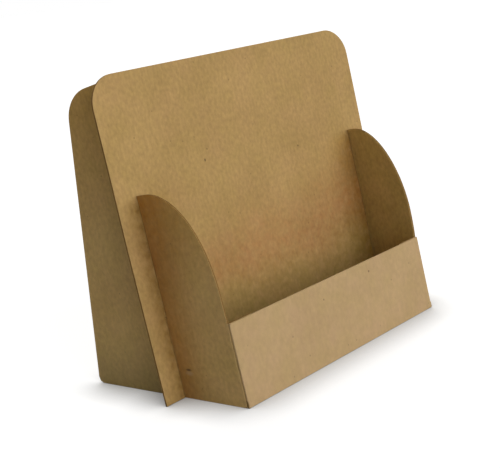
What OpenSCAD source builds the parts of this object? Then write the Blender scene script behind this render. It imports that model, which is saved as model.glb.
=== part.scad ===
// Postcard display stand of kraft board: a leaning back panel crossed by two side sheets,
// with a folded lip and base that close the card pocket. Millimetres, +Z up, lip towards -Y.
// The origin is the middle of the base's underside.

/* [Postcard] */
// Width of the card that the pocket is cut for
card_w = 148; // [100:1:220]
// Side play of the card behind the lip
card_play = 4; // [1:0.5:12]

/* [Board] */
// Thickness of the board
board = 1.2; // [0.8:0.1:2]
// Inside radius of a crease
crease_r = 0.3; // [0.1:0.1:0.8]
// Thickness of the glue film between two boards
glue_film = 0.1; // [0.05:0.05:0.2]
// Gap on each side of a board that stands in a slot or beside another board
slot_fit = 0.15; // [0.05:0.05:0.4]

/* [Stance] */
// Lean of the back panel from plumb
lean = 9; // [4:0.5:16]
// Turn of each side sheet, which brings the two closer at the lip
toe = 9; // [0:0.5:12]

/* [Back panel] */
// Length of the back panel along its lean
back_h = 161; // [130:1:220]
// Width of the back panel outside each side sheet
ear_w = 12.5; // [6:0.5:30]
// Radius of the upper corners
corner_r = 15.5; // [4:0.5:40]
// Height along the lean at which back panel and side sheets change over
lap_h = 41; // [25:1:60]
// Clear gap between the two slot ends there
lap_gap = 0.4; // [0.4:0.1:2]

/* [Card pocket] */
// Depth of the pocket, square to the back panel
pocket_depth = 36; // [20:1:60]
// Height of the lip along its lean
lip_h = 42; // [25:1:60]
// Amount by which each end of the lip stands proud of the side sheet
lip_proud = 0.3; // [0:0.1:1]
// Width of the glue flap behind each end of the lip
flap_w = 15; // [8:1:25]

/* [Side sheets] */
// Height of the front fin along the lean
fin_h = 102; // [85:1:130]
// Flat stretch of the fin's top beside the back panel
fin_flat = 4.5; // [1:0.5:10]
// Straight stretch of the fin's front edge above the lip
fin_rise = 12.5; // [2:0.5:20]
// Reach of the rear wing along the floor
wing_reach = 57; // [40:0.5:90]
// Height of the rear wing beside the back panel
wing_h = 156.5; // [120:0.5:200]
// Fall of the wing's top towards the rear
wing_fall = 14; // [0:0.5:20]
// Rake of the wing's rear edge, which narrows the wing upwards
wing_rake = 1.7; // [0:0.1:6]
// Radius of the wing's upper corner
wing_r = 17; // [4:1:30]
// Radius of the wing's heel
heel_r = 3; // [1:0.5:8]

/* [Hidden] */
kraft_back = [0.68, 0.56, 0.37];
kraft_side = [0.60, 0.48, 0.31];
kraft_front = [0.70, 0.59, 0.42];
// Turn of one chord along a rounded outline
arc_step = 4;
// Outside radius of a crease
crease_out = crease_r + board;
// Lip's outer face, measured square to the back panel's front face
lip_out = pocket_depth + board;
// Half the outer width over the side sheets, at the lip and at the back panel
front_half = (card_w + card_play) / 2 + board / cos(toe);
back_half = front_half + lip_out * tan(toe);
// Floor line of the lip's outer face and top of the lip along the lean
lip_floor_y = -lip_out / cos(lean);
lip_top = lip_h - lip_out * tan(lean);
// Centre of the crease between lip and base
base_start_y = lip_floor_y + crease_out * (1 + sin(lean)) / cos(lean);
base_end_y = -slot_fit;
base_mid_y = (base_start_y + base_end_y) / 2;
// Start of the flat lip above that crease, along the lean
lip_start = base_start_y * sin(lean) + crease_out * cos(lean);
// Outer face of a glue flap, and the centre of the crease that turns it, both square to the back panel
flap_face = -(lip_out - board - glue_film);
flap_crease_y = flap_face + crease_out;
// Lowest edge of a glue flap along the lean, clear of the base
flap_foot_z = board + crease_r + slot_fit;
flap_foot = (flap_foot_z + flap_crease_y * sin(lean)) / cos(lean);
// Side sheet in its own plane: y square to the slot, z along it
sheet_lean = atan(tan(lean) * cos(toe));
sheet_tilt = asin(sin(lean) * sin(toe));
floor_lift = board * tan(sheet_tilt);
sheet_front = (flap_crease_y - crease_out * sin(toe)) / cos(toe);
fin_front = flap_face / cos(toe);
slot_front = -board * tan(toe) - slot_fit;
slot_rear = board / cos(toe) + slot_fit;
curve_z = lip_top + fin_rise;
// Floor distance of the slot's rear edge at the wing's top, and height at which top and rear edge of the wing meet
wing_start = (slot_rear + wing_h * sin(sheet_lean)) / cos(sheet_lean);
shoulder_h = (wing_h - (wing_reach - wing_start) * tan(wing_fall)) / (1 - tan(wing_rake) * tan(wing_fall));

// Point of a side sheet given along the floor and up from it
function from_floor(along, up) = [
    along * cos(sheet_lean) - up * sin(sheet_lean),
    along * sin(sheet_lean) + up * cos(sheet_lean)
];

// Point of a side sheet at a given distance from the slot and height above the floor
function beside_slot(y, up) = [y, (up + y * sin(sheet_lean)) / cos(sheet_lean)];

// Half the base's width between the side sheets, at a given y
function base_half(y) = back_half + y * cos(lean) * tan(toe) - board / cos(toe) - slot_fit;

// Rounded corner of an outline that runs counter-clockwise from point a over b to c.
// Its radius is limited by the two edges, of which a board's thickness stays straight.
function round_corner(a, b, c, radius) =
    let (
        u = (b - a) / norm(b - a),
        v = (c - b) / norm(c - b),
        turn = acos(u * v),
        edge = min(norm(b - a), norm(c - b)) - board,
        r = min(radius, edge / tan(turn / 2)),
        centre = b - u * r * tan(turn / 2) + r * [-u[1], u[0]],
        from = atan2(-u[0], u[1]),
        steps = ceil(turn / arc_step)
    )
    [for (i = [0:steps]) centre + r * [cos(from + turn * i / steps), sin(from + turn * i / steps)]];

// Section of a folded strip: it comes in along -Y, turns clockwise about the origin and runs on
function fold_section(turn, before, after) =
    let (
        steps = ceil(turn / arc_step),
        ahead = after * [-sin(turn), -cos(turn)],
        outer = [for (i = [0:steps]) crease_out * [cos(turn * i / steps), -sin(turn * i / steps)]],
        inner = [for (i = [steps:-1:0]) crease_r * [cos(turn * i / steps), -sin(turn * i / steps)]]
    )
    concat(
        [[crease_out, before]],
        outer,
        [outer[steps] + ahead, inner[0] + ahead],
        inner,
        [[crease_r, before]]
    );

// Quarter ellipse from the fin's flat top down to its front edge
function fin_curve() =
    let (steps = ceil(90 / arc_step))
    [for (i = [0:steps])
        [
            -fin_flat + (fin_front + fin_flat) * sin(90 * i / steps),
            curve_z + (fin_h - curve_z) * cos(90 * i / steps)
        ]
    ];

// Outline of a side sheet: foot, heel, shoulder, slot, fin and the step at the glue flap
function side_outline() =
    let (
        foot = beside_slot(sheet_front, floor_lift),
        heel = from_floor(wing_reach, floor_lift),
        shoulder = from_floor(wing_reach - shoulder_h * tan(wing_rake), shoulder_h),
        wing_front = beside_slot(slot_rear, wing_h),
        slot_foot = lap_h - lap_gap / 2
    )
    concat(
        [foot],
        round_corner(foot, heel, shoulder, heel_r),
        round_corner(heel, shoulder, wing_front, wing_r),
        [wing_front, [slot_rear, slot_foot], [slot_front, slot_foot], [slot_front, fin_h]],
        fin_curve(),
        [[fin_front, lip_top], [sheet_front, lip_top]]
    );

// Places a child that is drawn with the back panel's front face in the XZ plane
module on_lean() {
    translate([0, -base_mid_y, 0])
        rotate([-lean, 0, 0])
            children();
}

// Right side sheet: fin and wing in one plane, and the glue flap folded in behind the lip
module side_sheet() {
    on_lean()
        translate([back_half, 0, 0])
            rotate([0, 0, -toe]) {
                translate([-board, 0, 0])
                    rotate([90, 0, 90])
                        linear_extrude(board)
                            polygon(side_outline());
                translate([-crease_out, sheet_front, flap_foot])
                    linear_extrude(lip_top - flap_foot)
                        polygon(fold_section(90 - toe, board, flap_w));
            }
}

// Back panel: rounded above, slotted from below for the side sheets
module back_panel() {
    half_w = back_half + ear_w;
    foot = board * tan(lean);
    lower_right = [half_w, foot];
    upper_right = [half_w, back_h];
    upper_left = [-half_w, back_h];
    lower_left = [-half_w, foot];
    slot_in = back_half - board / cos(toe) - slot_fit;
    slot_out = back_half + board * tan(toe) + slot_fit;
    slot_h = lap_h + lap_gap / 2;
    color(kraft_back)
        on_lean()
            translate([0, board, 0])
                rotate([90, 0, 0])
                    linear_extrude(board)
                        difference() {
                            polygon(concat(
                                [lower_left, lower_right],
                                round_corner(lower_right, upper_right, upper_left, corner_r),
                                round_corner(upper_right, upper_left, lower_left, corner_r)
                            ));
                            for (side = [0, 1])
                                mirror([side, 0])
                                    translate([slot_in, -slot_h])
                                        square([slot_out - slot_in, 2 * slot_h]);
                        }
}

module right_side() {
    color(kraft_side)
        side_sheet();
}

module left_side() {
    color(kraft_side)
        mirror([1, 0, 0])
            side_sheet();
}

// Lip, crease and base of one folded sheet, the base cut in to stand between the side sheets
module front_tray() {
    lip_half = front_half + lip_proud;
    cut_half = back_half + ear_w;
    color(kraft_front)
        translate([0, -base_mid_y, 0])
            difference() {
                translate([-lip_half, base_start_y, crease_out])
                    rotate([0, 90, 0])
                        linear_extrude(2 * lip_half)
                            polygon(fold_section(90 + lean, base_end_y - base_start_y, lip_top - lip_start));
                for (side = [0, 1])
                    mirror([side, 0, 0])
                        translate([0, 0, -crease_out])
                            linear_extrude(2 * crease_out)
                                polygon([
                                    [base_half(base_start_y), base_start_y],
                                    [cut_half, base_start_y],
                                    [cut_half, -base_start_y],
                                    [base_half(-base_start_y), -base_start_y]
                                ]);
            }
}

back_panel();
left_side();
right_side();
front_tray();
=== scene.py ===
"""Postcard display stand of kraft board: four cut and folded sheets dressed on the CAD frame."""

from math import asin, atan, cos, pi, radians, sin, tan
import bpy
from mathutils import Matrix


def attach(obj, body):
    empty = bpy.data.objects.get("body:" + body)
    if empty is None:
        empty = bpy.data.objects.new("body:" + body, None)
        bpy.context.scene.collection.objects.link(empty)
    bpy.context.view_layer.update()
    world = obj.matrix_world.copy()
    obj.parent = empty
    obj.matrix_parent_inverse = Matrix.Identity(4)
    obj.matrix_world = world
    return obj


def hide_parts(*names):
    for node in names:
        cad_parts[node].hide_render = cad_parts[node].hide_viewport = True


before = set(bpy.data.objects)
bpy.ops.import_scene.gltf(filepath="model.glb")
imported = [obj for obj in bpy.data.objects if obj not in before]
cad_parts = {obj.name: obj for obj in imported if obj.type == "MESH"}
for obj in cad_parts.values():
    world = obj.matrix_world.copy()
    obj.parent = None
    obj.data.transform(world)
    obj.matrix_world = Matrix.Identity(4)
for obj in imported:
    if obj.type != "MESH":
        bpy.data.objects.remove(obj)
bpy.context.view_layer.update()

from types import SimpleNamespace

import bpy
import numpy as np
from bpy.props import FloatProperty, FloatVectorProperty, PointerProperty
from mathutils import Matrix, Vector

bl_info = {
    "name": "Postcard Display Stand",
    "version": (1, 0, 0),
    "blender": (4, 5, 0),
    "location": "View3D > Sidebar > Stand",
    "description": "Builds the sheets, board finishes and studio of a kraft postcard stand",
    "category": "Object",
}

BODY = "root"

# Steps of the sheets' grids
CREASE_STEPS = 8
FLAP_STEPS = 4
FOOT_ROWS = 2
POCKET_ROWS = 12
LAP_ROWS = 2
EDGE_ROWS = 10
CURVE_ROWS = 24
FIN_COLUMNS = 12
WING_COLUMNS = 18
PANEL_COLUMNS = 48
EAR_COLUMNS = 7
CORNER_ROWS = 14
PANEL_ROWS = 40
TRAY_COLUMNS = 56
LIP_ROWS = 14
BASE_ROWS = 12

# Share of the half width from which the back panel's upper rows climb to the corner
CLIMB_START = 0.7
# Powers that lower the fullest place of a fin's bow and keep an ear's curl to its edge
BOW_POWER = 0.7
CURL_POWER = 1.5
# Steps of a cut edge's rounding
EDGE_SEGMENTS = 2

# Sizes of the board's pattern. Real streaks and fibre clumps of a tenth of a millimetre would not show, so the
# streaks are drawn 1.6 mm wide and 25 mm long, and the clumps 1.8 mm wide and 2.4 mm long.
CLOUD_SIZE = 0.024
HUE_SIZE = 0.012
# Size of the noise that makes the painted shade uneven
PAINTED_SHADE_MOTTLE_SIZE = 0.0045
PULP_SIZE = 0.0018
PULP_SHARE = 0.75
STREAK_SIZE = 0.0016
STREAK_SHARE = 0.065
BARK_SPACING = 0.008
# Detail of a rough and of a smooth noise, and the range that a single noise fills
ROUGH_DETAIL = 3.0
SMOOTH_DETAIL = 2.0
NOISE_RANGE = (0.3, 0.7)
# Weights of the clouds and streaks beside the clumps, and the range that their sum fills
CLOUD_WEIGHT = 0.6
STREAK_WEIGHT = 0.25
GRAIN_RANGE = (0.475, 1.375)
# Swing between dense and thin pulp as shares of the sheet's red, green and blue
PULP_SWING = (0.27, 0.31, 0.38)
# Swing between yellower and redder pulp
HUE_SWING = (0.012, -0.008, 0.045)
# Outer and inner rim of a bark fleck as shares of the spacing, and how far it covers the pulp
BARK_RIM = (0.07, 0.04)
BARK_COVER = 0.4
# Outer and inner rim of a single mark as shares of its half size
MARK_RIM = (1.0, 0.3)
# Share of the paler fold tone that a fold takes, and the part of it that a fold behind the lip takes. The tone is
# partly stretched fibres and partly painted light that lifts the shade under a fold.
CREASE_WEAR_AND_PAINTED_LIGHT = 0.7
HIDDEN_CREASE = 0.2
# Gloss and relief of the face
KRAFT_IOR = 1.5
FACE_ROUGHNESS = (0.74, 0.88)
FACE_BUMP = 0.3
FACE_RELIEF = 0.00008

# Share by which the painted shade strip behind the lip is taller at the right fin and lower at the left one
POCKET_SLANT = 0.3
# Lengths in which the wave of the painted shade strips behind the lip turns by one radian: two across and one upwards
POCKET_WAVES = (0.017, 0.0091, 0.013)
# Reach of a fin's painted shade strip at its foot and its growth up to the top, as shares of its reach at half height
STRIP_FOOT = 0.65
STRIP_GROWTH = 0.7

# Cut edge. Fibre ends of a few hundredths of a millimetre would not show, so they are drawn 0.6 mm wide.
TORN_SIZE = 0.0006
PRESS_SIZE = 0.009
PRESS_WEIGHT = 0.8
CUT_RANGE = (0.6, 1.1)
# Hollows of a cut edge as a share of its tone
CUT_HOLLOW = 0.72
CUT_ROUGHNESS = 0.92
CUT_SPECULAR = 0.15
CUT_BUMP = 0.6
CUT_RELIEF = 0.0001

# Floor, which lies a hair below the stand so that no two faces share a plane
FLOOR_REACH = 6.0
FLOOR_DROP = 0.00005
STIPPLE_SIZE = 0.004
STIPPLE_BUMP = 0.05
STIPPLE_RELIEF = 0.0002
SHADOW_SAMPLES = 16

# Nearest distance that the camera shows
CLIP_START = 0.01


def linear(code):
    """Linear RGB of an sRGB hex value: each channel through the sRGB curve."""
    share = np.array([int(code[i:i + 2], 16) for i in (1, 3, 5)]) / 255
    return tuple(np.where(share <= 0.04045, share / 12.92, ((share + 0.055) / 1.055) ** 2.4))


def length(name, text, value):
    """Property for a length in metres."""
    return FloatProperty(name=name, description=text, default=value, min=0, unit="LENGTH", precision=5)


def angle(name, text, degrees):
    """Property for an angle, given in degrees."""
    return FloatProperty(name=name, description=text, default=radians(degrees), subtype="ANGLE")


def tone(name, text, code):
    """Property for a tone, given as sRGB hex."""
    return FloatVectorProperty(name=name, description=text, default=linear(code), subtype="COLOR", min=0, max=1)


class StandSizes(bpy.types.PropertyGroup):
    """Cut and folded sizes of the stand."""

    card_w: length("Card width", "Width of the card that the pocket is cut for", 0.148)
    card_play: length("Card play", "Side play of the card behind the lip", 0.004)
    board: length("Board", "Thickness of the board", 0.0012)
    crease_r: length("Crease radius", "Inside radius of a crease", 0.0003)
    fold_r: length("Fold radius", "Outside radius of a pressed fold", 0.0006)
    glue_film: length("Glue film", "Thickness of the glue film between two boards", 0.0001)
    slot_fit: length("Slot fit", "Gap on each side of a board in a slot", 0.00015)
    edge_r: length("Cut edge", "Rounding that the cutting die leaves on an edge", 0.00025)
    lip_edge_r: length("Lip edge", "Rounding of the lip's rubbed edges", 0.00058)
    lean: angle("Lean", "Lean of the back panel from plumb", 9)
    toe: angle("Toe", "Turn of each side sheet towards the lip's middle", 9)
    back_h: length("Back height", "Length of the back panel along its lean", 0.161)
    ear_w: length("Ear", "Width of the back panel outside each side sheet", 0.0125)
    corner_r: length("Back corner", "Radius of the back panel's upper corners", 0.0155)
    lap_h: length("Lap height", "Height along the lean at which the slots meet", 0.041)
    lap_gap: length("Lap gap", "Clear gap between the two slot ends", 0.0001)
    pocket_depth: length("Pocket depth", "Depth of the pocket, square to the back panel", 0.036)
    lip_h: length("Lip height", "Height of the lip along its lean", 0.042)
    lip_proud: length("Lip proud", "Overhang of each end of the lip past the side sheet", 0.0001)
    flap_w: length("Glue flap", "Width of the glue flap behind each end of the lip", 0.015)
    fin_h: length("Fin height", "Height of the front fin along the lean", 0.102)
    fin_flat: length("Fin flat", "Flat stretch of the fin's top beside the back panel", 0.0045)
    fin_rise: length("Fin rise", "Straight stretch of the fin's front edge above the lip", 0.0125)
    wing_reach: length("Wing reach", "Reach of the rear wing along the floor", 0.057)
    wing_h: length("Wing height", "Height of the rear wing beside the back panel", 0.1565)
    wing_fall: angle("Wing fall", "Fall of the wing's top towards the rear", 14)
    wing_rake: angle("Wing rake", "Rake of the wing's rear edge", 1.7)
    wing_r: length("Wing corner", "Radius of the wing's upper corner", 0.017)
    heel_r: length("Heel", "Radius of the wing's heel", 0.003)
    fin_bow: length("Fin bow", "Outward bow of each fin between its slot and the lip", 0.0008)
    ear_curl: length("Ear curl", "Forward curl of the back panel's edges near the top", 0.0008)
    # The sizes below place the painted shade strips: along a fin's slot, at a wing's foot, beside an ear, inside a
    # fin, in the pocket above the lip and close behind it, and the wave of those last two.
    fin_painted_shade_r: length("Fin nook", "Reach of the browned strip on a fin at half its height", 0.0175)
    wing_foot_painted_shade_r: length("Wing foot", "Reach of the dulled strip at a wing's foot", 0.020)
    ear_painted_shade_r: length("Ear nook", "Reach of the browned strip on an ear", 0.006)
    corner_painted_shade_r: length("Corner nook", "Reach of the yellowed strip inside a fin", 0.014)
    pocket_painted_shade_r: length("Pocket nook", "Half width of the reddened strip above the lip", 0.020)
    pocket_painted_shade_z: length("Pocket nook height", "Height of that strip's middle above the lip", 0.018)
    pocket_painted_shade_wave: length("Pocket wave", "Unevenness of the two strips behind the lip", 0.0025)
    foot_painted_shade_r: length("Foot nook", "Reach of the dulled strip close behind the lip", 0.011)


class StandTones(bpy.types.PropertyGroup):
    """Tones of the board and the studio."""

    # The back, side and lip tones are partly the sheets' own colours and partly painted light and shade: the side
    # sheets, whose outer faces stand in shade, are lighter and more saturated than the back, and the lit lip is
    # paler.
    back: tone("Back", "Kraft of the back panel's sheet", "#b69358")
    side: tone("Sides", "Kraft of the side sheets", "#c3a062")
    lip: tone("Lip", "Kraft of the lip and base", "#c2a273")
    fleck: tone("Fleck", "Bark flecks in the pulp", "#5a4020")
    scuff: tone("Scuff", "Rubbed fibres beside a dent", "#b9a07a")
    # The crease tone is partly stretched fibres and partly painted light, pale enough to lift the shade under the
    # lip's fold.
    crease: tone("Crease", "Stretched fibres along a crease", "#d6ba8a")
    cut_edge: tone("Cut edge", "Pressed fibres of a cut edge", "#94703e")
    lip_edge: tone("Lip edge", "Rubbed fibres of the lip's cut edge", "#a38352")
    # The eight tones below are painted shade, multiplied into the board: darker and browner along a fin's slot, on an
    # ear beside a fin and towards the side sheets' tops; darker at a wing's foot and close behind the lip; faint on a
    # fin's inner face; darker and yellower inside a fin; and darker and redder in the pocket, as light reflected
    # between the sheets makes it.
    fin_painted_shade: tone("Fin nook", "Browning of a fin's outer face along the slot", "#dac3a2")
    fin_inside_painted_shade: tone("Pocket side", "Yellowing of a fin's inner face", "#f6fff8")
    wing_foot_painted_shade: tone("Wing foot", "Dulling of a wing's outer face above the floor", "#e0e7e7")
    side_top_painted_shade: tone("Side top", "Browning of a side sheet's outer face towards its tops", "#f7edc8")
    ear_painted_shade: tone("Ear nook", "Browning of the back panel outside a fin", "#d4cbb1")
    corner_painted_shade: tone("Corner nook", "Yellowing of the back panel inside a fin", "#faf3d4")
    pocket_painted_shade: tone("Pocket nook", "Reddening of the back panel above the lip", "#f7e7e4")
    foot_painted_shade: tone("Foot nook", "Dulling of the back panel close behind the lip", "#eaf1e2")
    floor: tone("Floor", "Matt paint of the floor", "#bcbcba")


class StandStudio(bpy.types.PropertyGroup):
    """Camera and light."""

    place: FloatVectorProperty(
        name="Camera", description="Place of the camera", default=(-0.39245, -0.34287, 0.20326), subtype="TRANSLATION"
    )
    azimuth: angle("Azimuth", "Heading of the view, from the lip's normal towards the right", 45.497)
    elevation: angle("Elevation", "Downward pitch of the view", 14.731)
    roll: angle("Roll", "Clockwise roll of the camera", 6.689)
    lens: FloatProperty(name="Lens", description="Focal length", default=74.706, unit="CAMERA")
    sensor: FloatProperty(name="Sensor", description="Width of the sensor", default=36, unit="CAMERA")
    key: FloatProperty(name="Key", description="Irradiance of the key light", default=2.72)
    key_heading: angle("Key heading", "Turn of the key from the lip's normal to the right", 8)
    key_height: angle("Key height", "Height of the key above the floor", 8)
    key_spread: angle("Key spread", "Angle that the soft key covers", 80)
    fill: FloatProperty(name="Fill", description="Irradiance of the fill light from behind", default=1.3)
    fill_heading: angle("Fill heading", "Turn of the fill from the lip's normal to the right", 150)
    fill_height: angle("Fill height", "Height of the fill above the floor", 30)
    fill_spread: angle("Fill spread", "Angle that the soft fill covers", 60)
    sky: FloatProperty(name="Sky", description="Strength of the even light from all round", default=0.20)
    shadow_reach: length("Shadow reach", "Width of the soft shadow at the stand's foot", 0.024)
    shadow_depth: FloatProperty(name="Shadow depth", description="Falling curve of that shadow", default=1.7)
    ground_glow: FloatProperty(name="Ground", description="Lift of the floor as the camera sees it", default=0.80)


# ---------------------------------------------------------------- sheets
# In all of these, s is the sizes, t the tones, and d the lengths that layout works out.


def layout(s):
    """Lengths that follow from the driving sizes.

    The panel frame has the back panel's front face in its XZ plane, before the lean; the sheet frame has y square to
    a side sheet's slot and z along it.
    """
    d = SimpleNamespace()
    d.crease_out = s.crease_r + s.board
    d.lip_out = s.pocket_depth + s.board
    d.front_half = (s.card_w + s.card_play) / 2 + s.board / cos(s.toe)
    d.back_half = d.front_half + d.lip_out * tan(s.toe)
    d.panel_half = d.back_half + s.ear_w
    d.lip_half = d.front_half + s.lip_proud
    d.lip_top = s.lip_h - d.lip_out * tan(s.lean)
    d.base_start = -d.lip_out / cos(s.lean) + d.crease_out * (1 + sin(s.lean)) / cos(s.lean)
    d.base_end = -s.slot_fit
    d.base_mid = (d.base_start + d.base_end) / 2
    d.lip_start = d.base_start * sin(s.lean) + d.crease_out * cos(s.lean)
    d.flap_face = -(d.lip_out - s.board - s.glue_film)
    d.flap_crease = d.flap_face + d.crease_out
    d.flap_foot = (s.board + s.crease_r + s.slot_fit + d.flap_crease * sin(s.lean)) / cos(s.lean)
    d.sheet_lean = atan(tan(s.lean) * cos(s.toe))
    d.floor_lift = s.board * tan(asin(sin(s.lean) * sin(s.toe)))
    d.sheet_front = (d.flap_crease - d.crease_out * sin(s.toe)) / cos(s.toe)
    d.fin_front = d.flap_face / cos(s.toe)
    d.slot_front = -s.board * tan(s.toe) - s.slot_fit
    d.slot_rear = s.board / cos(s.toe) + s.slot_fit
    d.curve_z = d.lip_top + s.fin_rise
    d.wing_start = (d.slot_rear + s.wing_h * sin(d.sheet_lean)) / cos(d.sheet_lean)
    d.shoulder_h = (s.wing_h - (s.wing_reach - d.wing_start) * tan(s.wing_fall)) / (
        1 - tan(s.wing_rake) * tan(s.wing_fall))
    d.slot_in = d.back_half - s.board / cos(s.toe) - s.slot_fit
    d.slot_out = d.back_half + s.board * tan(s.toe) + s.slot_fit
    return d


def on_lean(s, d, x, y, z):
    """Points of the panel frame in the stand's frame: leaned back about X, then shifted to the base's middle."""
    return np.stack(
        [x, y * cos(s.lean) + z * sin(s.lean) - d.base_mid, z * cos(s.lean) - y * sin(s.lean)], axis=-1
    )


def on_side(s, d, side, x, y, z):
    """Points of a side sheet in the stand's frame: turned by the toe about its slot, set out to it and leaned.

    side is 1 for the right sheet and -1 for the left one, which mirrors it in X.
    """
    across = d.back_half + x * cos(s.toe) + y * sin(s.toe)
    return on_lean(s, d, side * across, y * cos(s.toe) - x * sin(s.toe), z)


def stretches(stops, steps):
    """Straight runs from stop to stop, each cut into its number of steps."""
    stops = [np.asarray(stop, float) for stop in stops]
    runs = [np.linspace(a, b, n, endpoint=False) for a, b, n in zip(stops, stops[1:], steps)]
    return np.concatenate(runs + [stops[-1][None]])


def corner_arc(a, b, c, radius, steps):
    """Arc that rounds the corner b of a counter-clockwise outline a, b, c: centre plus radius times (cos, sin)."""
    a, b, c = (np.asarray(p, float) for p in (a, b, c))
    u = (b - a) / np.linalg.norm(b - a)
    v = (c - b) / np.linalg.norm(c - b)
    turn = np.arccos(u @ v)
    centre = b - u * radius * np.tan(turn / 2) + radius * np.array([-u[1], u[0]])
    at = np.arctan2(-u[0], u[1]) + np.linspace(0, turn, steps + 1)
    return centre + radius * np.stack([np.cos(at), np.sin(at)], axis=-1)


def cells(index, keep=None):
    """Quads of a grid of vertex numbers; keep tells which of its cells are board and which are cut away."""
    quads = np.stack([index[:-1, :-1], index[:-1, 1:], index[1:, 1:], index[1:, :-1]], axis=-1)
    return quads.reshape(-1, 4) if keep is None else quads[keep]


def roomy_edges(mesh, points, outline, room):
    """Weight 1 for the outline's edges that have room to be rounded: every edge at both their ends is longer."""
    ends = np.empty(2 * len(mesh.edges), np.int32)
    mesh.edges.foreach_get("vertices", ends)
    ends = np.sort(ends.reshape(-1, 2), axis=1)
    span = np.linalg.norm(points[ends[:, 0]] - points[ends[:, 1]], axis=1)
    shortest = np.full(len(points), np.inf)
    np.minimum.at(shortest, ends, span[:, None])
    cut = np.sort(outline, axis=1)
    on_outline = np.isin(ends @ (len(points), 1), cut @ (len(points), 1))
    return (on_outline & (shortest[ends].min(axis=1) > room)).astype(np.float32)


def painted_shade_tint(share, tint):
    """Painted shade tone at each point: white where its share is none, the tint where it is whole."""
    return 1 - share[..., None] * (1 - np.array(tint))


def board_piece(name, face, far, quads, crease, painted_shades, materials, edge_r):
    """Closed board: the face's grid, the far face one thickness behind it, and a rim of quads round every outline.

    An outline edge is one that only a single quad uses. The rim takes the cut edge's material. The painted
    shade tones are given for the face and for the far face.
    """
    used, quads = np.unique(quads, return_inverse=True)
    quads = quads.reshape(-1, 4)
    face, far, crease = face[used], far[used], crease[used]
    corners = face[quads]
    outward = np.cross(corners[:, 1] - corners[:, 0], corners[:, 3] - corners[:, 0])
    if np.sum(outward * (face - far)[quads[:, 0]]) < 0:
        quads = quads[:, ::-1]
    count = len(face)
    start, end = quads.ravel(), np.roll(quads, -1, axis=1).ravel()
    single = ~np.isin(start * count + end, end * count + start)
    start, end = start[single], end[single]
    rim = np.stack([end, start, start + count, end + count], axis=-1)
    faces = np.concatenate([quads, quads[:, ::-1] + count, rim])

    points = np.concatenate([face, far])
    mesh = bpy.data.meshes.new(name)
    mesh.from_pydata(points, [], faces)
    mesh.polygons.foreach_set("material_index", np.repeat([0, 1], [2 * len(quads), len(rim)]))
    mesh.polygons.foreach_set("use_smooth", np.ones(len(faces), bool))
    mesh.attributes.new("crease", "FLOAT", "POINT").data.foreach_set("value", np.concatenate([crease, crease]))
    # Painted shade tones ride on the points, one vector each, for the face's material to multiply in.
    mesh.attributes.new("nook", "FLOAT_VECTOR", "POINT").data.foreach_set(
        "vector", np.concatenate([tint[used] for tint in painted_shades]).ravel())
    mesh.validate()
    outline = np.stack([start, end], axis=-1)
    outline = np.concatenate([outline, outline + count])
    mesh.attributes.new("bevel_weight_edge", "FLOAT", "EDGE").data.foreach_set(
        "value", roomy_edges(mesh, points, outline, 2 * edge_r))
    for material in materials:
        mesh.materials.append(material)
    piece = bpy.data.objects.new(name, mesh)
    bpy.context.scene.collection.objects.link(piece)

    rounded = piece.modifiers.new("die-cut edge", "BEVEL")
    rounded.width = edge_r
    rounded.segments = EDGE_SEGMENTS
    rounded.limit_method = "WEIGHT"
    rounded.harden_normals = True
    rounded.material = 0
    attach(piece, BODY)
    return piece


def back_panel_grid(s, d):
    """Back panel: x is a share of the half width, z a row's height.

    Rows run level up to the corners; there the half width follows the corner's arc, and the outer part of each row
    climbs to meet it. The slots are cells cut away below the lap.
    """
    slot_top = s.lap_h + s.lap_gap / 2
    straight = s.back_h - s.corner_r
    foot = s.board * tan(s.lean)
    outer = np.linspace(d.slot_out, d.panel_half, EAR_COLUMNS)
    inner = np.linspace(0, d.slot_in, PANEL_COLUMNS // 2)
    half = np.concatenate([inner, outer]) / d.panel_half
    share = np.concatenate([-half[:0:-1], half])

    lower = int(PANEL_ROWS * slot_top / straight)
    level = stretches([[foot], [slot_top], [straight]], [lower, PANEL_ROWS - lower])[:, 0]
    sweep = np.linspace(0, pi / 2, CORNER_ROWS + 1)[1:]
    middle = np.concatenate([level, np.linspace(straight, s.back_h, CORNER_ROWS + 1)[1:]])
    end = np.concatenate([level, straight + s.corner_r * np.sin(sweep)])
    width = d.panel_half - np.concatenate([np.zeros(len(level)), s.corner_r * (1 - np.cos(sweep))])

    climb = np.clip((np.abs(share) - CLIMB_START) / (1 - CLIMB_START), 0, 1)
    x = width[:, None] * share
    z = middle[:, None] + (end - middle)[:, None] * climb
    row, column = np.indices((len(z) - 1, len(share) - 1))
    slot = len(inner) - 1
    from_middle = np.abs(column - (len(share) - 2) / 2) - 0.5
    keep = ~((np.round(from_middle) == slot) & (row < lower))
    return x, z, cells(np.arange(x.size).reshape(x.shape), keep)


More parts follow.
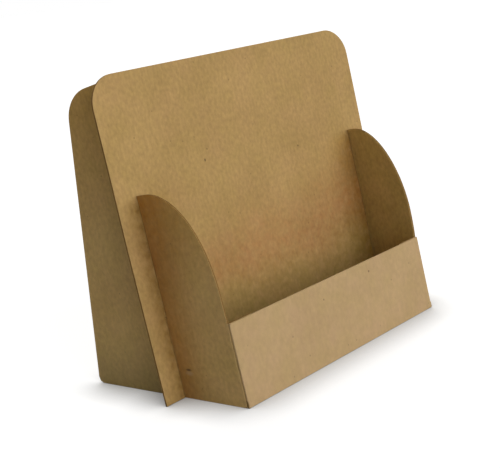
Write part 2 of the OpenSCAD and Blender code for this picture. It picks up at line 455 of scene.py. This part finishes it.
def back_panel_painted_shades(s, t, d, x, z):
    """Painted shade of the back panel's face: bells over the distance from a fin and over the height above the lip.

    The height above the lip is moved by a wave of two sines and stretched towards the right fin.
    """
    from_middle = np.abs(x)
    between = from_middle < (d.slot_in + d.slot_out) / 2
    beside_fin = np.clip((s.fin_h - z) / s.fin_flat, 0, 1)
    # Painted shade: the ear darkens beside a fin, as in the fin's shadow; inside a fin the panel turns darker and
    # yellower; above the lip a band turns darker and redder, as light reflected in the pocket makes it, and close
    # behind the lip the panel turns duller.
    ear = np.exp(-((from_middle - d.slot_out) / s.ear_painted_shade_r) ** 2) * beside_fin * ~between
    inside = np.exp(-((d.slot_in - from_middle) / s.corner_painted_shade_r) ** 2) * beside_fin * between
    long, short, rise = POCKET_WAVES
    wave = s.pocket_painted_shade_wave * (np.sin(x / long) + np.sin(x / short + z / rise))
    above = (z - d.lip_top + wave) / (1 + POCKET_SLANT * x / d.slot_in)
    pocket = np.exp(-((above - s.pocket_painted_shade_z) / s.pocket_painted_shade_r) ** 2) * between
    foot = np.exp(-(np.clip(above, 0, None) / s.foot_painted_shade_r) ** 2) * between
    shares = (ear, t.ear_painted_shade), (inside, t.corner_painted_shade), (pocket, t.pocket_painted_shade), (foot, t.foot_painted_shade)
    return np.prod([painted_shade_tint(share, tint) for share, tint in shares], axis=0)


def side_grid(s, d):
    """Side sheet: rows ruled from the fin's outline to the slot, and from the slot to the wing's outline.

    Fin outline: front edge, then a quarter ellipse up to the flat top. Wing outline: heel arc, raked rear edge,
    shoulder arc. The slot is cut away above the lap, and the strip in front of the fold below the lip's top.
    """
    sin_l, cos_l = sin(d.sheet_lean), cos(d.sheet_lean)

    def from_floor(along, up):
        """Sheet point at a distance along the floor and a height above it."""
        return np.array([along * cos_l - up * sin_l, along * sin_l + up * cos_l])

    def beside_slot(y, up):
        """Sheet point at a distance from the slot line and a height above the floor."""
        return np.array([y, (up + y * sin_l) / cos_l])

    slot_foot = s.lap_h - s.lap_gap / 2
    steps = [FOOT_ROWS, POCKET_ROWS, LAP_ROWS]
    upper = EDGE_ROWS + CURVE_ROWS
    heel = from_floor(s.wing_reach, d.floor_lift)
    shoulder = from_floor(s.wing_reach - d.shoulder_h * tan(s.wing_rake), d.shoulder_h)
    floor_front = beside_slot(d.sheet_front, d.floor_lift)
    step_up = d.flap_foot - floor_front[1]

    def foot_row(y):
        """Two points at a distance from the slot line: on the floor, and level with the flap's foot."""
        floor = beside_slot(y, d.floor_lift)
        return [floor, floor + [0, step_up]]

    turn = np.linspace(pi / 2, 0, CURVE_ROWS + 1)[1:]
    ellipse = np.stack(
        [-s.fin_flat + (d.fin_front + s.fin_flat) * np.sin(turn), d.curve_z + (s.fin_h - d.curve_z) * np.cos(turn)],
        axis=-1,
    )
    front_stops = foot_row(d.fin_front) + [[d.fin_front, z] for z in (d.lip_top, slot_foot, d.curve_z)]
    front = np.concatenate([stretches(front_stops, steps + [EDGE_ROWS]), ellipse])
    slot_stops = foot_row(d.slot_front) + [[d.slot_front, z] for z in (d.lip_top, slot_foot, s.fin_h)]
    slot_fore = stretches(slot_stops, steps + [upper])
    wing_top = beside_slot(d.slot_rear, s.wing_h)
    slot_stops = foot_row(d.slot_rear) + [[d.slot_rear, d.lip_top], [d.slot_rear, slot_foot], wing_top]
    slot_aft = stretches(slot_stops, steps + [upper])

    heel_arc = corner_arc(floor_front, heel, shoulder, s.heel_r, FOOT_ROWS)
    shoulder_arc = corner_arc(heel, shoulder, wing_top, s.wing_r, CURVE_ROWS // 2)
    up = (shoulder_arc[0] - heel_arc[-1]) / s.wing_h
    rear_stops = [heel_arc[-1], heel_arc[-1] + up * d.lip_top, heel_arc[-1] + up * slot_foot, shoulder_arc[0]]
    rear = np.concatenate(
        [heel_arc[:-1], stretches(rear_stops, steps[1:] + [upper - CURVE_ROWS // 2])[:-1], shoulder_arc]
    )

    fold = (d.sheet_front - d.fin_front) / (d.slot_front - d.fin_front)
    fin_share = np.concatenate([[0], np.linspace(fold, 1, FIN_COLUMNS)])[:, None]
    wing_share = np.linspace(0, 1, WING_COLUMNS)[:, None]
    fin = front[:, None] + (slot_fore - front)[:, None] * fin_share
    wing = slot_aft[:, None] + (rear - slot_aft)[:, None] * wing_share
    grid = np.concatenate([fin, wing], axis=1)

    flap_row, lip_row, lap_row = np.cumsum(steps)
    row, column = np.indices((grid.shape[0] - 1, grid.shape[1] - 1))
    keep = ~((column == 0) & (row < lip_row)) & ~((column == len(fin_share) - 1) & (row >= lap_row))
    return grid, keep, flap_row, lip_row


def side_painted_shades(s, t, d, grid, flap_points):
    """Painted shade of a side sheet's outer and inner face; the flap's points, which come last, stay white.

    Outer face: a bell over the distance before the slot, wider upwards; a bell over a wing's height above the floor;
    and a darker, browner tone that grows from half of the fin's or wing's height to its top. Inner face: the whole
    fin, faintly. All of these are painted shade.
    """
    y, z = grid[..., 0].ravel(), grid[..., 1].ravel()
    before_slot = d.slot_front - y
    on_fin = before_slot > -s.slot_fit
    height = (grid @ (-sin(d.sheet_lean), cos(d.sheet_lean))).ravel()
    reach = s.fin_painted_shade_r * (STRIP_FOOT + STRIP_GROWTH * z / s.fin_h)
    top = np.where(on_fin, z / s.fin_h, height / s.wing_h)
    outer = painted_shade_tint(on_fin * np.exp(-(before_slot / reach) ** 2), t.fin_painted_shade)
    outer *= painted_shade_tint(~on_fin * np.exp(-(height / s.wing_foot_painted_shade_r) ** 2), t.wing_foot_painted_shade)
    outer *= painted_shade_tint(np.clip(2 * top - 1, 0, 1), t.side_top_painted_shade)
    inner = painted_shade_tint(on_fin, t.fin_inside_painted_shade)
    flap = np.ones((flap_points, 3))
    return np.concatenate([outer, flap]), np.concatenate([inner, flap])


def fold_centre(s, d, depth, turn):
    """Radius of a fold at a depth in the board, and how far its arc starts beyond the crease's own start.

    The outer face is pressed to a smaller radius, so there the flats run on until they touch the smaller arc.
    """
    radius = s.crease_r if depth else s.fold_r
    return radius, (d.crease_out - depth - radius) * tan(turn / 2)


def side_points(s, d, side, grid, flap_z, depth):
    """Points of a side sheet at a depth under its outer face: the flat sheet, then the flap's fold.

    The fin bows outwards by a sine of its height above the lip, growing from nothing at the slot to the front edge.
    The fold turns by a right angle less the toe, then runs straight for the flap's width.
    """
    across = np.clip((d.slot_front - grid[..., 0]) / (d.slot_front - d.fin_front), 0, 1)
    above = np.clip((grid[..., 1] - d.lip_top) / (s.fin_h - d.lip_top), 0, 1)
    bow = s.fin_bow * across * np.sin(pi * above ** BOW_POWER)
    flat = on_side(s, d, side, bow - depth, grid[..., 0], grid[..., 1])
    turn = pi / 2 - s.toe
    radius, late = fold_centre(s, d, depth, turn)
    bend = np.concatenate([np.linspace(0, turn, CREASE_STEPS + 1)[1:], np.full(FLAP_STEPS, turn)])[::-1]
    run = np.concatenate([np.zeros(CREASE_STEPS), np.linspace(0, s.flap_w + late, FLAP_STEPS + 1)[1:]])[::-1]
    x = -depth - radius + radius * np.cos(bend) - run * np.sin(turn)
    y = d.sheet_front - late - radius * np.sin(bend) - run * np.cos(turn)
    fold = on_side(s, d, side, *np.broadcast_arrays(x, y, flap_z[:, None]))
    return np.concatenate([flat.reshape(-1, 3), fold.reshape(-1, 3)]), np.where(run > 0, 0.0, 1.0)


def tray_points(s, d, depth):
    """Front tray at a depth inside its outer face: the section base, crease and lip carried along x.

    The base runs forward on the floor, the crease turns a right angle plus the lean about its centre, and the lip
    runs up along the lean. Between the side sheets the base narrows towards the lip.
    """
    turn = pi / 2 + s.lean
    bend = np.concatenate([np.zeros(BASE_ROWS), np.linspace(0, turn, CREASE_STEPS * 2 + 1), np.full(LIP_ROWS, turn)])
    back = np.concatenate([np.linspace(d.base_end - d.base_start, 0, BASE_ROWS, endpoint=False),
                           np.zeros(CREASE_STEPS * 2 + 1 + LIP_ROWS)])
    radius, late = fold_centre(s, d, depth, turn)
    rise = np.concatenate([np.zeros(BASE_ROWS + CREASE_STEPS * 2 + 1),
                           np.linspace(0, d.lip_top - d.lip_start + late, LIP_ROWS + 1)[1:]])
    y = d.base_start + back - np.where(back > 0, 0, late) - radius * np.sin(bend) - rise * np.cos(turn)
    z = depth + radius - radius * np.cos(bend) + rise * np.sin(turn)
    base_half = d.slot_in + (d.base_start + back) * cos(s.lean) * tan(s.toe)
    share = np.linspace(-1, 1, TRAY_COLUMNS)
    lip = np.full((len(y), 1), d.lip_half)
    x = np.concatenate([-lip, base_half[:, None] * share, lip], axis=1)
    points = np.stack(np.broadcast_arrays(x, (y - d.base_mid)[:, None], z[:, None]), axis=-1)
    creased = np.sin(np.clip(bend / turn, 0, 1) * pi)
    return points, np.broadcast_to(creased[:, None], x.shape)


# ---------------------------------------------------------------- finishes


def add(tree, kind, inputs=None, **settings):
    """Adds a node, sets its properties, and fills its inputs with values or with links from (node, output) pairs.

    A socket goes by its name or number. Map Range: 1 and 2 are the range taken, 3 and 4 the range given. Colour
    Mix: 0 is the share, 6 and 7 are the colours, and 2 is the outcome.
    """
    node = tree.nodes.new(kind)
    for name, value in settings.items():
        setattr(node, name, value)
    for key, value in (inputs or {}).items():
        if isinstance(value, tuple) and value and isinstance(value[0], bpy.types.Node):
            tree.links.new(value[0].outputs[value[1]], node.inputs[key])
        else:
            node.inputs[key].default_value = value
    return node


def new_material(name):
    """Material with an empty node tree, and that tree."""
    material = bpy.data.materials.new(name)
    material.use_nodes = True
    material.node_tree.nodes.clear()
    return material, material.node_tree


def kraft_face(name, s, t, kraft, mottle, painted_shade_mottle, offset, marks=()):
    """Kraft board, calendered: brown pulp rolled between felts, left uncoated.

    mottle is the share of the pulp's swing, the argument after it the unevenness of the painted shade, and offset
    moves the pattern. A mark is a place, a half size, a tone and how far it covers the board.
    """
    # Rolled pulp is matt, cloudy where the fibres gathered, faintly streaked along the run, and flecked with bark.
    material, tree = new_material(name)
    coord = add(tree, "ShaderNodeTexCoord")
    turned = add(tree, "ShaderNodeMapping",
                 {"Vector": (coord, "Object"), "Location": offset, "Rotation": (s.lean, 0, 0)})
    drawn = add(tree, "ShaderNodeMapping", {"Vector": (turned, 0), "Scale": (1, 1, STREAK_SHARE)})
    laid = add(tree, "ShaderNodeMapping", {"Vector": (turned, 0), "Scale": (1, 1, PULP_SHARE)})
    cloud, pulp, streak, hue, uneven = (
        add(tree, "ShaderNodeTexNoise", {"Vector": (space, 0), "Scale": 1 / size, "Detail": detail})
        for space, size, detail in ((turned, CLOUD_SIZE, ROUGH_DETAIL), (laid, PULP_SIZE, ROUGH_DETAIL),
                                    (drawn, STREAK_SIZE, SMOOTH_DETAIL), (turned, HUE_SIZE, SMOOTH_DETAIL),
                                    (turned, PAINTED_SHADE_MOTTLE_SIZE, ROUGH_DETAIL)))
    grain = add(tree, "ShaderNodeMath", {0: (cloud, 0), 1: CLOUD_WEIGHT, 2: (pulp, 0)}, operation="MULTIPLY_ADD")
    grain = add(tree, "ShaderNodeMath", {0: (streak, 0), 1: STREAK_WEIGHT, 2: (grain, 0)}, operation="MULTIPLY_ADD")
    level = add(tree, "ShaderNodeMapRange", {0: (grain, 0), 1: GRAIN_RANGE[0], 2: GRAIN_RANGE[1]})
    swing = mottle * np.array(PULP_SWING)
    dense, thin = ((*share, 1) for share in (1 - swing, 1 + swing))
    grainy = add(tree, "ShaderNodeMix", {0: (level, 0), 6: dense, 7: thin}, data_type="RGBA")
    shift = np.array(HUE_SWING)
    yellow, red = ((*np.multiply(kraft, share), 1) for share in (1 - shift, 1 + shift))
    hue = add(tree, "ShaderNodeMapRange", {0: (hue, 0), 1: NOISE_RANGE[0], 2: NOISE_RANGE[1]})
    colour = add(tree, "ShaderNodeMix", {0: (hue, 0), 6: yellow, 7: red}, data_type="RGBA")
    colour = add(tree, "ShaderNodeMix", {0: 1.0, 6: (colour, 2), 7: (grainy, 2)},
                 data_type="RGBA", blend_type="MULTIPLY")
    # Painted shade is multiplied in by place: darker and browner where two sheets stand close and towards the tops of
    # the sides, redder in the pocket, duller near the floor, and uneven in strength by a noise.
    nook = add(tree, "ShaderNodeAttribute", attribute_name="nook")
    uneven = add(tree, "ShaderNodeMapRange",
                 {0: (uneven, 0), 1: NOISE_RANGE[0], 2: NOISE_RANGE[1], 3: 1 - painted_shade_mottle, 4: 1 + painted_shade_mottle})
    colour = add(tree, "ShaderNodeMix", {0: (uneven, 0), 6: (colour, 2), 7: (nook, "Vector")},
                 data_type="RGBA", blend_type="MULTIPLY", clamp_factor=False)

    bark = add(tree, "ShaderNodeTexVoronoi", {"Vector": (turned, 0), "Scale": 1 / BARK_SPACING})
    dot = add(tree, "ShaderNodeMapRange",
              {0: (bark, "Distance"), 1: BARK_RIM[0], 2: BARK_RIM[1], 3: 0, 4: BARK_COVER})
    colour = add(tree, "ShaderNodeMix", {0: (dot, 0), 6: (colour, 2), 7: (*t.fleck, 1)}, data_type="RGBA")
    for place, size, mark, cover in marks:
        away = add(tree, "ShaderNodeVectorMath", {0: (coord, "Object"), 1: place}, operation="SUBTRACT")
        share = add(tree, "ShaderNodeVectorMath", {0: (away, 0), 1: size}, operation="DIVIDE")
        near = add(tree, "ShaderNodeVectorMath", {0: (share, 0)}, operation="LENGTH")
        spot = add(tree, "ShaderNodeMapRange",
                   {0: (near, "Value"), 1: MARK_RIM[0], 2: MARK_RIM[1], 3: 0, 4: cover})
        colour = add(tree, "ShaderNodeMix", {0: (spot, 0), 6: (colour, 2), 7: (*mark, 1)}, data_type="RGBA")
    # Folds are painted paler: partly the stretched fibres of a crease, partly painted light on a fold's shaded
    # underside.
    fold = add(tree, "ShaderNodeAttribute", attribute_name="crease")
    fold_wear_and_painted_light = add(tree, "ShaderNodeMath", {0: (fold, "Fac"), 1: CREASE_WEAR_AND_PAINTED_LIGHT}, operation="MULTIPLY")
    colour = add(tree, "ShaderNodeMix", {0: (fold_wear_and_painted_light, 0), 6: (colour, 2), 7: (*t.crease, 1)}, data_type="RGBA")

    rough = add(tree, "ShaderNodeMapRange", {0: (pulp, 0), 1: NOISE_RANGE[0], 2: NOISE_RANGE[1],
                                             3: FACE_ROUGHNESS[0], 4: FACE_ROUGHNESS[1]})
    bump = add(tree, "ShaderNodeBump", {"Strength": FACE_BUMP, "Distance": FACE_RELIEF, "Height": (grain, 0)})
    shader = add(tree, "ShaderNodeBsdfPrincipled",
                 {"Base Color": (colour, 2), "Roughness": (rough, 0), "IOR": KRAFT_IOR, "Normal": (bump, 0)})
    add(tree, "ShaderNodeOutputMaterial", {"Surface": (shader, 0)})
    return material


def kraft_cut(name, edge):
    """Kraft board, die-cut edge: pulp layers sheared and pressed by the die."""
    # The sheared layers stand on end, so the edge drinks light and shows darker than the face, with torn hollows.
    material, tree = new_material(name)
    coord = add(tree, "ShaderNodeTexCoord")
    torn, press = (
        add(tree, "ShaderNodeTexNoise", {"Vector": (coord, "Object"), "Scale": 1 / size, "Detail": detail})
        for size, detail in ((TORN_SIZE, ROUGH_DETAIL), (PRESS_SIZE, SMOOTH_DETAIL)))
    depth = add(tree, "ShaderNodeMath", {0: (press, 0), 1: PRESS_WEIGHT, 2: (torn, 0)}, operation="MULTIPLY_ADD")
    level = add(tree, "ShaderNodeMapRange", {0: (depth, 0), 1: CUT_RANGE[0], 2: CUT_RANGE[1]})
    hollow = (*(CUT_HOLLOW * channel for channel in edge), 1)
    colour = add(tree, "ShaderNodeMix", {0: (level, 0), 6: hollow, 7: (*edge, 1)}, data_type="RGBA")
    bump = add(tree, "ShaderNodeBump", {"Strength": CUT_BUMP, "Distance": CUT_RELIEF, "Height": (torn, 0)})
    shader = add(tree, "ShaderNodeBsdfPrincipled",
                 {"Base Color": (colour, 2), "Roughness": CUT_ROUGHNESS, "IOR": KRAFT_IOR,
                  "Specular IOR Level": CUT_SPECULAR, "Normal": (bump, 0)})
    add(tree, "ShaderNodeOutputMaterial", {"Surface": (shader, 0)})
    return material


def seen_rays(tree):
    """Share of light paths that show the studio: those from the camera, a gloss or a clear body."""
    rays = add(tree, "ShaderNodeLightPath")
    seen = add(tree, "ShaderNodeMath", {0: (rays, "Is Camera Ray"), 1: (rays, "Is Glossy Ray")}, operation="MAXIMUM")
    return add(tree, "ShaderNodeMath", {0: (seen, 0), 1: (rays, "Is Transmission Ray")}, operation="MAXIMUM")


def floor_paint(t, studio):
    """Matt emulsion, rolled: an even pale floor that keeps the stand's shadow."""
    # Rolled emulsion is even and dull; a faint stipple keeps it from being a flat tone.
    material, tree = new_material("emulsion_rolled")
    coord = add(tree, "ShaderNodeTexCoord")
    stipple = add(tree, "ShaderNodeTexNoise",
                  {"Vector": (coord, "Object"), "Scale": 1 / STIPPLE_SIZE, "Detail": SMOOTH_DETAIL})
    bump = add(tree, "ShaderNodeBump",
               {"Strength": STIPPLE_BUMP, "Distance": STIPPLE_RELIEF, "Height": (stipple, 0)})
    paint = add(tree, "ShaderNodeBsdfDiffuse", {"Color": (*t.floor, 1), "Normal": (bump, 0)})
    glow = add(tree, "ShaderNodeMath", {0: (seen_rays(tree), 0), 1: studio.ground_glow}, operation="MULTIPLY")
    # The stand's foot closes off the soft light close to it, so the lift fades there into a contact shadow.
    open_sky = add(tree, "ShaderNodeAmbientOcclusion", {"Distance": studio.shadow_reach},
                   samples=SHADOW_SAMPLES)
    fade = add(tree, "ShaderNodeMath", {0: (open_sky, "AO"), 1: studio.shadow_depth}, operation="POWER")
    lift = add(tree, "ShaderNodeEmission", {"Color": (fade, 0), "Strength": (glow, 0)})
    both = add(tree, "ShaderNodeAddShader", {0: (paint, 0), 1: (lift, 0)})
    add(tree, "ShaderNodeOutputMaterial", {"Surface": (both, 0)})
    return material


# ---------------------------------------------------------------- operators


class STAND_OT_back_panel(bpy.types.Operator):
    """Build the leaning back panel with its rounded corners and two slots"""

    bl_idname = "stand.back_panel"
    bl_label = "Back panel"

    def execute(self, context):
        s, t = context.scene.stand_sizes, context.scene.stand_tones
        d = layout(s)
        x, z, quads = back_panel_grid(s, d)
        # The ears curl forward by a power of the distance past the slot, times a quarter sine of the height above
        # the panel's middle.
        outside = np.clip((np.abs(x) - d.slot_out) / s.ear_w, 0, 1)
        upper = np.clip(2 * z / s.back_h - 1, 0, 1)
        curl = s.ear_curl * outside ** CURL_POWER * np.sin(upper * pi / 2)
        face, far = (on_lean(s, d, x, depth - curl, z).reshape(-1, 3) for depth in (0, s.board))
        flecks = [((-0.0340, 0.0351, 0.1078), (0.0007, 0.0007, 0.0011), t.fleck, 0.95),
                  ((-0.0309, 0.0359, 0.1129), (0.0006,) * 3, t.fleck, 0.8),
                  ((0.0370, 0.0340, 0.1007), (0.0008,) * 3, t.fleck, 0.8)]
        finish = [kraft_face("kraft_back_calendered", s, t, t.back, mottle=1.0, painted_shade_mottle=0.45,
                             offset=(0.31, 0.0, 0.12), marks=flecks),
                  kraft_cut("kraft_back_die_cut", t.cut_edge)]
        # The face takes the painted shade; the far face none.
        painted_shades = back_panel_painted_shades(s, t, d, x, z).reshape(-1, 3), np.ones((x.size, 3))
        piece = board_piece("back_panel_board", face, far, quads, np.zeros(x.size), painted_shades, finish, s.edge_r)
        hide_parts("back_panel")
        return {"FINISHED"}


class STAND_OT_side_sheets(bpy.types.Operator):
    """Build the two side sheets, each a fin, a wing and a folded glue flap"""

    bl_idname = "stand.side_sheets"
    bl_label = "Side sheets"

    def execute(self, context):
        s, t = context.scene.stand_sizes, context.scene.stand_tones
        d = layout(s)
        grid, keep, flap_row, lip_row = side_grid(s, d)
        index = np.arange(grid[..., 0].size).reshape(grid.shape[:2])
        flap_z = grid[:lip_row + 1, 1, 1]
        fold_columns = CREASE_STEPS + FLAP_STEPS
        folded = index.size + np.arange(len(flap_z) * fold_columns).reshape(-1, fold_columns)
        row, column = np.indices((lip_row, fold_columns))
        fold_keep = (row >= flap_row) | (column >= fold_columns - CREASE_STEPS // 2)
        quads = np.concatenate([cells(index, keep), cells(np.hstack([folded, index[:lip_row + 1, 1:2]]), fold_keep)])
        # Both faces of a side sheet take painted shade.
        painted_shades = side_painted_shades(s, t, d, grid, folded.size)
        dent = [((-0.0822, 0.0140, 0.0133), (0.0015, 0.0030, 0.0016), t.scuff, 0.45),
                ((-0.0822, 0.0143, 0.0150), (0.0015, 0.0022, 0.0008), t.fleck, 0.95)]
        sheets = ("left_side", -1, (0.0, 0.47, 0.2), dent), ("right_side", 1, (0.1, 0.83, 0.0), ())
        for name, side, offset, marks in sheets:
            (face, creased), (far, _) = (side_points(s, d, side, grid, flap_z, depth) for depth in (0, s.board))
            crease = np.concatenate([np.zeros(index.size), HIDDEN_CREASE * np.tile(creased, len(flap_z))])
            finish = [kraft_face("kraft_%s_calendered" % name, s, t, t.side, mottle=1.0, painted_shade_mottle=0.12,
                                 offset=offset, marks=marks),
                      kraft_cut("kraft_%s_die_cut" % name, t.cut_edge)]
            piece = board_piece(name + "_board", face, far, quads, crease, painted_shades, finish, s.edge_r)
            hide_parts(name)
        return {"FINISHED"}


class STAND_OT_front_tray(bpy.types.Operator):
    """Build the lip and base, folded from one sheet"""

    bl_idname = "stand.front_tray"
    bl_label = "Lip and base"

    def execute(self, context):
        s, t = context.scene.stand_sizes, context.scene.stand_tones
        d = layout(s)
        (face, creased), (far, _) = (tray_points(s, d, depth) for depth in (0, s.board))
        row, column = np.indices((face.shape[0] - 1, face.shape[1] - 1))
        ends = (column == 0) | (column == face.shape[1] - 2)
        quads = cells(np.arange(creased.size).reshape(creased.shape), ~(ends & (row < BASE_ROWS)))
        flecks = [((0.0290, -0.0140, 0.0355), (0.0008,) * 3, t.fleck, 0.8),
                  ((-0.0106, -0.0145, 0.0322), (0.0007,) * 3, t.fleck, 0.6)]
        finish = [kraft_face("kraft_lip_calendered", s, t, t.lip, mottle=0.5, painted_shade_mottle=0.0,
                             offset=(0.22, 0.15, 0.4), marks=flecks),
                  kraft_cut("kraft_lip_die_cut", t.lip_edge)]
        face, far = face.reshape(-1, 3), far.reshape(-1, 3)
        painted_shades = (np.ones((len(face), 3)),) * 2
        piece = board_piece("front_tray_board", face, far, quads, creased.ravel(), painted_shades, finish, s.lip_edge_r)
        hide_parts("front_tray")
        return {"FINISHED"}


class STAND_OT_stage(bpy.types.Operator):
    """Set the floor, the soft light and the camera"""

    bl_idname = "stand.stage"
    bl_label = "Stage"

    def execute(self, context):
        scene, t, studio = context.scene, context.scene.stand_tones, context.scene.stand_studio
        mesh = bpy.data.meshes.new("floor")
        side = np.array([[-1, -1], [1, -1], [1, 1], [-1, 1]]) * FLOOR_REACH
        mesh.from_pydata(np.column_stack([side, np.full(4, -FLOOR_DROP)]), [], [(0, 1, 2, 3)])
        mesh.materials.append(floor_paint(t, studio))
        floor = bpy.data.objects.new("floor", mesh)
        scene.collection.objects.link(floor)

        world = bpy.data.worlds.new("studio")
        world.use_nodes = True
        tree = world.node_tree
        tree.nodes.clear()
        level = add(tree, "ShaderNodeMapRange", {0: (seen_rays(tree), 0), 3: studio.sky, 4: 1.0})
        even = add(tree, "ShaderNodeBackground", {"Color": (1, 1, 1, 1), "Strength": (level, 0)})
        add(tree, "ShaderNodeOutputWorld", {"Surface": (even, 0)})
        scene.world = world

        for name in ("key", "fill"):
            power, heading, height, spread = (
                getattr(studio, name + part) for part in ("", "_heading", "_height", "_spread"))
            lamp = bpy.data.lights.new(name, "SUN")
            lamp.energy = power
            lamp.angle = spread
            light = bpy.data.objects.new(name, lamp)
            towards = Vector((sin(heading) * cos(height), -cos(heading) * cos(height), sin(height)))
            light.rotation_euler = towards.to_track_quat("Z", "Y").to_euler()
            light.location = towards
            scene.collection.objects.link(light)

        view = bpy.data.cameras.new("camera")
        view.lens = studio.lens
        view.sensor_width = studio.sensor
        view.sensor_fit = "HORIZONTAL"
        view.clip_start = CLIP_START
        flat = cos(studio.elevation)
        forward = Vector((sin(studio.azimuth) * flat, cos(studio.azimuth) * flat, -sin(studio.elevation)))
        level_right = forward.cross(Vector((0, 0, 1))).normalized()
        level_down = forward.cross(level_right)
        right = level_right * cos(studio.roll) + level_down * sin(studio.roll)
        turn = Matrix((right, right.cross(forward), -forward)).transposed()
        camera = bpy.data.objects.new("camera", view)
        camera.matrix_world = Matrix.Translation(studio.place) @ turn.to_4x4()
        scene.collection.objects.link(camera)
        scene.camera = camera
        scene.view_settings.view_transform = "Standard"
        return {"FINISHED"}


class STAND_PT_panel(bpy.types.Panel):
    """Sidebar panel of the stand"""

    bl_idname = "STAND_PT_panel"
    bl_label = "Postcard stand"
    bl_space_type = "VIEW_3D"
    bl_region_type = "UI"
    bl_category = "Stand"

    def draw(self, context):
        for operator in OPERATORS:
            self.layout.operator(operator.bl_idname)
        for group, kind in GROUPS.items():
            for name in kind.__annotations__:
                self.layout.prop(getattr(context.scene, group), name)


GROUPS = {"stand_sizes": StandSizes, "stand_tones": StandTones, "stand_studio": StandStudio}
OPERATORS = (STAND_OT_back_panel, STAND_OT_side_sheets, STAND_OT_front_tray, STAND_OT_stage)


def register():
    for kind in (*GROUPS.values(), *OPERATORS, STAND_PT_panel):
        bpy.utils.register_class(kind)
    for name, kind in GROUPS.items():
        setattr(bpy.types.Scene, name, PointerProperty(type=kind))


def unregister():
    for name in GROUPS:
        delattr(bpy.types.Scene, name)
    for kind in (STAND_PT_panel, *reversed(OPERATORS), *GROUPS.values()):
        bpy.utils.unregister_class(kind)


def main():
    register()
    bpy.ops.stand.back_panel()
    bpy.ops.stand.side_sheets()
    bpy.ops.stand.front_tray()
    bpy.ops.stand.stage()


if __name__ == "__main__":
    main()
